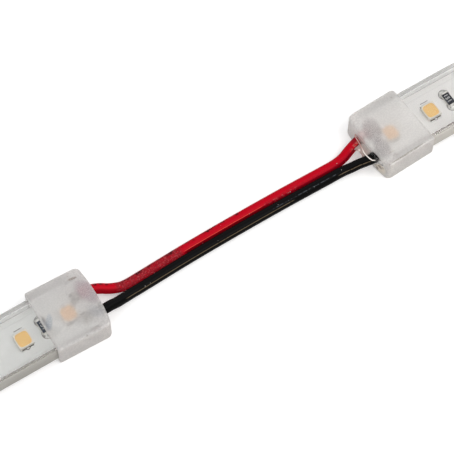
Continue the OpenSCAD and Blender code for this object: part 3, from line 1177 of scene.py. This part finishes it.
@dataclass
class SealantPlug(Piece):
    """Sealant run into the wire slot, drawn up against the wires."""

    height: float = 2.9
    depth: float = 1.28
    face_u: float = -0.06
    gap: float = 0.02
    wire_r: float = 0.975
    collar: float = 0.5
    web: float = 0.0
    web_half: float = 0.42
    strand_r: float = 0.105
    strand_route: tuple[Point, ...] = (
        (28.75, 3.1, 3.2), (28.4, 2.55, 3.5), (28.25, 1.8, 3.66), (28.25, 1.3, 3.52),
        (28.25, 0.9, 3.3), (28.15, 0.2, 3.25), (27.95, -1.05, 3.2), (27.85, -1.75, 3.54),
        (27.85, -2.4, 3.76), (28.0, -2.85, 3.68), (28.25, -3.2, 3.48), (28.75, -3.4, 3.25),
    )

    def bonded(self, u: float, y: float, z: float) -> bool:
        """All but the free face is bonded; see Piece.bonded."""
        return u > self.face_u + 0.05

    def face(self, y: float, z: float) -> float:
        """Place of the sealant's free face: collars at the wires, and the web between them."""
        u = self.face_u
        for s in (-1, 1):
            away = math.hypot(y - s * self.exit_pitch / 2, z - self.wire_z) - self.wire_r
            u -= self.collar * math.exp(-max(away, 0) / 0.33)
        inner = self.exit_pitch / 2 - self.wire_r
        if self.web and abs(y) < self.exit_pitch / 2:
            hollow = 0.75 + 0.25 * min(1, abs(y) / inner) ** 2
            level = max(0.0, 1 - ((z - self.wire_z) / self.web_half) ** 4)
            u -= self.web * hollow * level
        return u

    def build(self) -> bpy.types.Object:
        """Models the plug.

        Returns:
            The plug's skin.
        """
        rows = [(self.depth, -0.25), (self.depth, -self.gap), (self.face_u, -self.gap)]
        rings = self.rings([(u, oval_section(self.exit_pitch, self.height, self.wire_z, g))
                            for u, g in rows])
        steps = 48
        rim = oval_section(self.exit_pitch, self.height, self.wire_z, -self.gap)
        for i in range(1, steps):
            share = 1 - i / steps
            ring = [(y * (0.12 + 0.88 * share), self.wire_z + (z - self.wire_z) * share) for y, z in rim]
            rings.append([self.at(self.face(y, z), y, z) for y, z in ring])
        plug = loft(self.end.prefix + "sealant_skin", rings)
        return self.dress(settle(plug, 50), "sealant")

    def strand(self, finish: Finish) -> bpy.types.Object:
        """Models the strand of sealant that was wiped across the wires.

        Args:
            finish: The strand's finish.

        Returns:
            The strand.
        """
        route = smooth([Vector(p) for p in self.strand_route], self.strand_r)
        strand = sweep(self.end.prefix + "sealant_strand", route, finish, self.strand_r, 12)
        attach(strand, BODY)
        LOG.info("%s: %d faces", strand.name, len(strand.data.polygons))
        return strand


@dataclass
class TwinLead:
    """Bonded red and black wires that part near each cap."""

    wire_d: float = 1.95
    exit_pitch: float = 4.5
    wire_z: float = 2.62
    exit_x: float = 28.75
    sides: int = 32
    ring_step: float = 0.25
    fin: float = 0.1
    finishes: dict[Pole, tuple[str, Finish]] = field(default_factory=dict)
    route: tuple[tuple[float, float, float, float], ...] = (
        (-30.8, -0.11, 1, 1), (-29.2, -0.17, 1, 1), (-28.4, -0.2, 0.98, 0.98),
        (-27.2, -0.35, 0.84, 0.76), (-26, -0.6, 0.6, 0.5), (-24.8, -0.7, 0.36, 0.26),
        (-23.6, -0.75, 0.18, 0.08), (-22.2, -0.7, 0.06, 0), (-20, -0.6, 0, 0),
        (-10, -0.22, 0, 0), (0, -0.05, 0, 0), (10, -0.02, 0, 0), (20, -0.15, 0, 0),
        (22.2, -0.2, 0.06, 0), (23.6, -0.25, 0.18, 0.08), (24.8, -0.3, 0.36, 0.26),
        (26, -0.25, 0.6, 0.5), (27.2, -0.28, 0.84, 0.76), (28.4, -0.28, 0.98, 0.98),
        (29.2, -0.24, 1, 1), (30.8, -0.16, 1, 1),
    )

    def centre(self, pole: Pole) -> list[Vector]:
        """Points of one wire's middle, in millimetres."""
        radius = self.wire_d / 2
        return [Vector((x, y + pole.value * (radius + part * (self.exit_pitch / 2 - radius)),
                        radius + rise * (self.wire_z - radius)))
                for x, y, rise, part in self.route]

    def wire(self, pole: Pole) -> bpy.types.Object:
        """Models one wire.

        Args:
            pole: Which wire.

        Returns:
            The wire's mesh.
        """
        slot, finish = self.finishes[pole]
        route = smooth(self.centre(pole), self.ring_step)
        name = pole.name.lower() + "_wire"
        piece = sweep(name + "_skin", route, finish, self.wire_d / 2, self.sides, (self.fin, pole.value))
        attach(piece, BODY)
        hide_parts(name)
        length = sum((b - a).length for a, b in zip(route, route[1:])) * MM
        exit_at = (-self.exit_x * MM, pole.value * self.exit_pitch / 2 * MM, self.wire_z * MM)
        [p * MM for p in route]
        LOG.info("%s: %.1f mm long, %d faces", piece.name, length / MM, len(piece.data.polygons))
        return piece

    def build(self) -> list[bpy.types.Object]:
        """Models both wires."""
        return [self.wire(pole) for pole in Pole]


@dataclass
class StripParts:
    """The rigid parts of one strip end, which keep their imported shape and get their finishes."""

    end: End
    finishes: dict[str, Finish]

    def dress(self) -> None:
        """Gives each of this end's shown nodes the finish that its name asks for."""
        for name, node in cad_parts.items():
            if not name.startswith(self.end.prefix) or node.hide_render:
                continue
            kind = next((key for key in self.finishes if name.endswith(key)), None)
            if kind is None:
                LOG.warning("%s has no finish", name)
                continue
            node.data.materials.clear()
            node.data.materials.append(self.finishes[kind].build())
            LOG.info("%s: %s", name, self.finishes[kind].name)


@dataclass
class LedFoot:
    """Resin that fills the space between an LED's housing and the board."""

    node: str
    board_top: float = 2.1
    inset: float = 0.03

    def build(self, finish: Finish) -> bpy.types.Object:
        """Models the foot.

        Args:
            finish: The housing's finish.

        Returns:
            The foot's mesh.
        """
        low, high = (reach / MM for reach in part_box(self.node))
        west, east = low.x + self.inset, high.x - self.inset
        south, north = low.y + self.inset, high.y - self.inset
        outline = ((west, south), (east, south), (east, north), (west, north))
        rings = [[(x, y, z) for x, y in outline] for z in (self.board_top, low.z + self.inset)]
        foot = loft(self.node.replace("housing", "foot"), rings)
        foot.data.materials.append(finish.build())
        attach(foot, BODY)
        LOG.info("%s: %d faces", foot.name, len(foot.data.polygons))
        return foot


@dataclass
class ResistorCode:
    """Plain value digits printed on a chip resistor."""

    end: End
    digits: str = "151"
    height: float = 0.8
    run: float = 1.4
    shift: tuple[float, float] = (-0.08, 0.15)
    thickness: float = 0.01

    def build(self, finish: Finish) -> bpy.types.Object:
        """Models the digits on the resistor's coat.

        Args:
            finish: The print's finish.

        Returns:
            The digits' mesh.
        """
        low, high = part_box(self.end.prefix + "resistor_coating")
        name = self.end.prefix + "resistor_code"
        text = bpy.data.curves.new(name, "FONT")
        text.body, text.align_x, text.align_y = self.digits, "CENTER", "CENTER"
        text.size, text.extrude, text.space_character = MM, self.thickness * MM / 2, 1.1
        piece = settle(add_object(name, text), 30)
        size = piece.dimensions
        fit = Matrix.Diagonal((self.run * MM / size.x, self.height * MM / size.y, 1, 1))
        turn = Matrix.Rotation(math.radians(-90), 4, "Z")
        top = Matrix.Translation(((low.x + high.x) / 2 + self.shift[0] * MM,
                                  (low.y + high.y) / 2 + self.shift[1] * MM, high.z + self.thickness * MM / 2))
        piece.data.transform(top @ turn @ fit)
        piece.data.materials.clear()
        piece.data.materials.append(finish.build())
        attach(piece, BODY)
        LOG.info("%s: %d faces", name, len(piece.data.polygons))
        return piece


@dataclass
class Studio:
    """Pale floor, soft light and the camera at the photograph's angle."""

    azimuth_deg: float = -32.327
    elevation_deg: float = 62.566
    distance: float = 352.62
    target: Point = (-0.775, 0.923, 0.0)
    lens: float = 153.1
    floor_half: float = 900.0

    def camera(self) -> None:
        """Sets the camera."""
        a, e = math.radians(self.azimuth_deg), math.radians(self.elevation_deg)
        back = Vector((math.sin(a) * math.cos(e), -math.cos(a) * math.cos(e), math.sin(e)))
        data = bpy.data.cameras.new("camera")
        data.lens, data.sensor_width = self.lens, 36
        data.clip_start, data.clip_end = 0.01, 10
        camera = add_object("camera", data)
        camera.location = (Vector(self.target) + back * self.distance) * MM
        camera.rotation_euler = (-back).to_track_quat("-Z", "Y").to_euler()
        bpy.context.scene.camera = camera

    @staticmethod
    def rays(graph: Graph) -> tuple[Socket, Socket]:
        """Which rays show the backdrop: 1 for those of the camera or through glass, 1 for those off gloss."""
        outputs = graph.node("ShaderNodeLightPath").socket.node.outputs
        camera, gloss, glass = (Socket(graph, outputs[name]) for name in
                                ("Is Camera Ray", "Is Glossy Ray", "Is Transmission Ray"))
        return camera.larger(glass), gloss

    def world(self) -> None:
        """White backdrop, a dim ceiling in reflections, and a soft sky for the light itself."""
        world = bpy.data.worlds.new("sky")
        bpy.context.scene.world = world
        world.use_nodes = True
        world.node_tree.nodes.clear()
        graph = Graph(world.node_tree)
        _, _, up = graph.axes(graph.node("ShaderNodeTexCoord", output="Generated"))
        seen, gloss = self.rays(graph)
        sky = graph.mix(up.step(-0.1, 1.0), (0.5, 0.5, 0.5), (0.95, 0.95, 0.95))
        ceiling = graph.mix(up.step(0.35, 0.75), (1, 1, 1), (0.3, 0.3, 0.3))
        colour = graph.mix(seen, graph.mix(gloss, sky, ceiling), (1, 1, 1))
        light = graph.node("ShaderNodeBackground", None, {"Color": colour, "Strength": 1.0})
        graph.finish(light, "ShaderNodeOutputWorld")

    def floor(self) -> None:
        """Pale floor that reads as white and keeps the object's shadow."""
        half = self.floor_half * MM
        mesh = bpy.data.meshes.new("floor")
        mesh.from_pydata([(-half, -half, 0), (half, -half, 0), (half, half, 0), (-half, half, 0)], [],
                         [(0, 1, 2, 3)])
        floor = add_object("floor", mesh)
        material = bpy.data.materials.new("pale_floor")
        material.use_nodes = True
        material.node_tree.nodes.clear()
        graph = Graph(material.node_tree)
        matt = graph.node("ShaderNodeBsdfDiffuse", None, {"Color": (0.8, 0.8, 0.8, 1)})
        seen, gloss = self.rays(graph)
        glow = graph.node("ShaderNodeEmission", None, {"Color": (1, 1, 1, 1),
                                                       "Strength": seen.larger(gloss) * 0.32})
        graph.finish(graph.node("ShaderNodeAddShader", None, {0: matt, 1: glow}))
        mesh.materials.append(material)

    def lamp(self, name: str, place: Point, size: tuple[float, float], power: float,
             colour: Colour) -> None:
        """Hangs one soft lamp that looks at the object.

        Args:
            name: Its name.
            place: Where it hangs, in millimetres.
            size: Its width and height in millimetres.
            power: Watts.
            colour: Its colour.
        """
        data = bpy.data.lights.new(name, "AREA")
        data.shape, data.size, data.size_y = "RECTANGLE", size[0] * MM, size[1] * MM
        data.energy, data.color = power, colour
        lamp = add_object(name, data)
        lamp.location = Vector(place) * MM
        lamp.rotation_euler = (-lamp.location).to_track_quat("-Z", "Y").to_euler()

    def build(self) -> None:
        """Sets up the studio."""
        bpy.context.scene.view_settings.view_transform = "Standard"
        self.camera()
        self.world()
        self.floor()
        self.lamp("key", (260, -300, 620), (460, 400), 2.2, (1, 0.99, 0.97))
        self.lamp("strip", (0, -600, 210), (400, 24), 0.2, (1, 0.82, 0.66))


TIN = (0.8, 0.78, 0.75)
HOUSING = (0.86, 0.82, 0.76)
COAT = {End.LEFT: (0.045, 0.06, 0.085), End.RIGHT: (0.016, 0.019, 0.03)}
# Painted shade: the left board's ink is darker than the right's, for light that is weaker at the left end.
BOARD_INK_WITH_LEFT_PAINTED_SHADE = {End.LEFT: (0.84, 0.85, 0.84), End.RIGHT: (0.92, 0.905, 0.895)}
PART_FINISHES = {
    "pads": InkedSolder("tinned_copper", TIN, 0.35, 0.9),
    "led_housing": Phosphor("led_housing", (1.0, 0.63, 0.26), 0.4, specular=0.3, cup=HOUSING),
    "inner_led_phosphor": Phosphor("covered_phosphor", (1.0, 0.6, 0.36), 0.35, specular=0.2),
    "led_phosphor": Phosphor("led_phosphor", (1.0, 0.63, 0.26), 0.35, specular=0.2),
    "led_leads": LeadFrame("led_leads", (0.09, 0.07, 0.06), 0.5, specular=0.2),
    "resistor_body": Finish("resistor_ceramic", (0.75, 0.74, 0.7), 0.5),
    "resistor_terminals": SolderMetal("tinned_terminal", (0.92, 0.9, 0.86), 0.4, 0.5, dull=(0.5, 0.49, 0.47)),
    "part_solder": InkedSolder("part_solder", (0.78, 0.78, 0.76), 0.3, 0.75, dull=(0.28, 0.27, 0.26)),
    "wire_solder": SolderMetal("wire_solder", (0.75, 0.74, 0.72), 0.35, 0.7, dull=(0.35, 0.34, 0.32)),
    "strands": SolderMetal("tinned_strand", TIN, 0.35, 0.8),
}
# On the red wire, the first band is painted shade along the far edge. The band from -29 to -24 and the dark band
# from -10.3 to 30 are painted shade on the near side. The thin bright band from -10.3 to 6.5 and the broken pale
# band from 7 to 14 are painted highlights.
RED_STREAKS_AND_PAINTED_LIGHT = (
    Streak(-31, 31, 0.54, 0.6, (0.2, 0.001, 0.006), 0.6, 0.02),
    Streak(-29, -24, 0.84, 1.0, (0.22, 0.002, 0.006), 0.7, 0.03),
    Streak(-24.5, -10.9, 0.6, 0.95, (0.17, 0.008, 0.014), 0.85, 0.03, broken=0.41, grain=5),
    Streak(-24.5, -10.9, 0.6, 0.95, (0.55, 0.07, 0.08), 0.6, 0.03, broken=0.57, grain=5),
    Streak(-29, 2, 0.565, 0.725, (0.03, 0.003, 0.006), 0.9, 0.015, broken=0.56, grain=2),
    Streak(27.2, 29.2, 0.56, 0.8, (0.22, 0.008, 0.015), 0.8, 0.03),
    Streak(26.4, 29, 0.78, 1.0, (0.4, 0.12, 0.1), 0.7, 0.02, broken=0.46, grain=3),
    Streak(-10.3, 30, 0.875, 1.0, (0.14, 0.0, 0.004), 0.9, 0.012),
    Streak(-10.3, 6.5, 0.855, 0.868, (0.8, 0.09, 0.06), 0.9),
    Streak(7, 27, 0.8, 0.95, (0.26, 0.002, 0.012), 0.5, 0.02, broken=0.47, grain=5),
    Streak(7, 14, 0.84, 0.92, (0.6, 0.2, 0.2), 0.5, 0.02, broken=0.6, grain=3),
)
# Every band on the black wire is painted light: the wide one is painted sheen over its upper side, and the tan ones
# and the bluish one are painted highlight lines.
BLACK_PAINTED_SHEEN_AND_HIGHLIGHTS = (
    Streak(-31, 31, 0.5, 0.825, (0.006, 0.006, 0.0065), 1.0, 0.01),
    Streak(-24, 12, 0.862, 0.884, (0.13, 0.1, 0.065), 0.9, broken=0.34, grain=2.2),
    Streak(8, 22, 0.79, 0.81, (0.14, 0.16, 0.19), 0.4, broken=0.5, grain=2.2),
    Streak(22, 28, 0.862, 0.885, (0.16, 0.12, 0.08), 0.9, broken=0.4, grain=2.2),
)
LEAD_FINISHES = {
    Pole.RED: ("red_insulation", Insulation("red_insulation", (0.46, 0.001, 0.011), 0.38, specular=0.05,
                                            scuff=(0.4, 0.02, 0.03), streaks=RED_STREAKS_AND_PAINTED_LIGHT)),
    Pole.BLACK: ("black_insulation", Insulation("black_insulation", (0.002, 0.002, 0.002), 0.38,
                                                specular=0.045, scuff=(0.012, 0.012, 0.012),
                                                streaks=BLACK_PAINTED_SHEEN_AND_HIGHLIGHTS)),
}
# Colours of the patches of painted shade on the caps.
SHADE = (0.25, 0.29, 0.36)
PAINTED_SHADE_VIOLET = (0.31, 0.23, 0.28)
PAINTED_SHADE_BLUE = (0.22, 0.3, 0.4)
PAINTED_SHADE_GREY = (0.29, 0.27, 0.28)
# Specks and stains on the caps' roofs, and patches of painted shade: the blue one where the left resistor lies
# under the cap, and the violet, grey and SHADE ones over the wire ends, pads and solder under each cap. The long
# thin one on the right darkens the roof's near top edge.
CAP_STAINS_AND_PAINTED_SHADE = {
    End.LEFT: (Mark((-30.95, 4.55), (0.95, 0.27), -10, 1.0), Mark((-31.4, 5.36), (0.18, 0.14)),
               Mark((-34.25, -6.3), (0.2, 0.2)), Mark((-38.6, -0.65), (1.8, 0.65), 60, 0.8, PAINTED_SHADE_BLUE),
               Mark((-29.9, 1.0), (3.2, 1.8), -70, 0.75, PAINTED_SHADE_VIOLET), Mark((-30.8, -3.1), (1.9, 1.1), -60, 0.3, SHADE)),
    End.RIGHT: (Mark((31.5, -4.43), (0.8, 0.2), -3, 0.5, (0.4, 0.35, 0.25)),
                Mark((38.1, 5.17), (0.22, 0.2)), Mark((29.8, -6.3), (0.16, 0.16)),
               Mark((31.1, 1.3), (3.2, 1.9), 75, 0.9, PAINTED_SHADE_GREY), Mark((30.6, -2.9), (2.5, 1.6), 80, 0.85, PAINTED_SHADE_GREY),
               Mark((34.0, -6.2), (4.4, 0.17), 2.7, 1.0, (0.25, 0.21, 0.18))),
}
GLUE = (0.85, 0.75, 0.6)
CAP_END_MARKS = {
    End.LEFT: (),
    End.RIGHT: (Mark((-4.3, 1.9), (1.6, 1.7), 0, 0.85, GLUE), Mark((-4.3, 2.1), (0.6, 0.36), 0, 1.0),
                Mark((-3.7, 0.9), (0.35, 0.5), 0, 1.0), Mark((-5.0, 2.6), (0.3, 0.26), 0, 0.9)),
}
CAP_WET = {End.LEFT: (), End.RIGHT: (Mark((-3.1, 3.8), (2.1, 1.25), 0, 1.0),)}
CAP_FAR_CORNER = {End.LEFT: 0.3, End.RIGHT: 0.8}
CAP_TURN_DEG = {End.LEFT: 1.9, End.RIGHT: 2.7}
# Painted shade: the left cap's skin is darker than the right's, for light that is weaker at the left end.
CAP_SKIN_WITH_LEFT_PAINTED_SHADE = {End.LEFT: (0.85, 0.83, 0.82), End.RIGHT: (0.94, 0.915, 0.895)}
# Painted shade: the dark skin of the sleeves' near sides, darker at the left end.
SIDE_SKIN_PAINTED_SHADE = {End.LEFT: (0.52, 0.505, 0.47), End.RIGHT: (0.75, 0.72, 0.67)}
SEAL_SKIN = {End.LEFT: (0.75, 0.66, 0.64), End.RIGHT: (0.78, 0.58, 0.52)}
SEAL_MILK = {End.LEFT: 0.15, End.RIGHT: 0.55}
SEAL_WEB = {End.LEFT: 0.0, End.RIGHT: 2.0}
# Painted highlights: pale spots on the right sealant's top.
PAINTED_GLINTS = (Mark((27.5, 0.1), (0.42, 0.3), 0, 0.9, (1, 0.97, 0.95)),
           Mark((27.9, 0.7), (0.2, 0.14), 0, 0.6, (1, 0.9, 0.88)))
CAP = {"roughness": 0.42, "transmission": 1.0, "ior": 1.41, "milk": 0.34}
CLEAR = {"transmission": 1.0, "ior": 1.41}


def main() -> None:
    """Builds the studio and every piece, in order."""
    logging.basicConfig(level=logging.INFO, format="%(message)s")
    Studio().build()
    TwinLead(finishes=LEAD_FINISHES).build()
    for end in End:
        turn = CAP_TURN_DEG[end]
        frost = FrostedSilicone("frosted_silicone", (0.88, 0.87, 0.86), skin=CAP_SKIN_WITH_LEFT_PAINTED_SHADE[end],
                                marks=CAP_STAINS_AND_PAINTED_SHADE[end], end_marks=CAP_END_MARKS[end], wet=CAP_WET[end],
                                turn_deg=turn, **CAP)
        EndCap(end, frost, "frosted_silicone", turn_deg=turn, far_mouth_r=CAP_FAR_CORNER[end]).build()
        clear = ClearSilicone("clear_silicone", (0.97, 0.97, 0.965), 0.04, skin=SIDE_SKIN_PAINTED_SHADE[end], **CLEAR)
        StripSleeve(end, clear, "clear_silicone", cap_turn_deg=turn).build()
        seal = Sealant("clear_sealant", (0.97, 0.93, 0.91), 0.16, milk=SEAL_MILK[end],
                       skin=SEAL_SKIN[end], painted_glints=PAINTED_GLINTS, **CLEAR)
        plug = SealantPlug(end, seal, "clear_sealant", web=SEAL_WEB[end], turn_deg=turn)
        plug.build()
        if end is End.RIGHT:
            plug.strand(StrandGlue("sealant_strand", (0.95, 0.9, 0.85), 0.3))
        board = SolderMask("white_board", BOARD_INK_WITH_LEFT_PAINTED_SHADE[end], 0.5, specular=0.3)
        coat = Finish("resistor_coating", COAT[end], 0.3, specular=0.15)
        StripParts(end, {"board": board, "resistor_coating": coat} | PART_FINISHES).dress()
        for place in ("outer", "inner"):
            LedFoot(f"{end.prefix}{place}_led_housing").build(Finish("led_foot", HOUSING, 0.4, specular=0.3))
        ResistorCode(end).build(Finish("resistor_print", (0.8, 0.8, 0.79), 0.6))


if __name__ == "__main__":
    main()
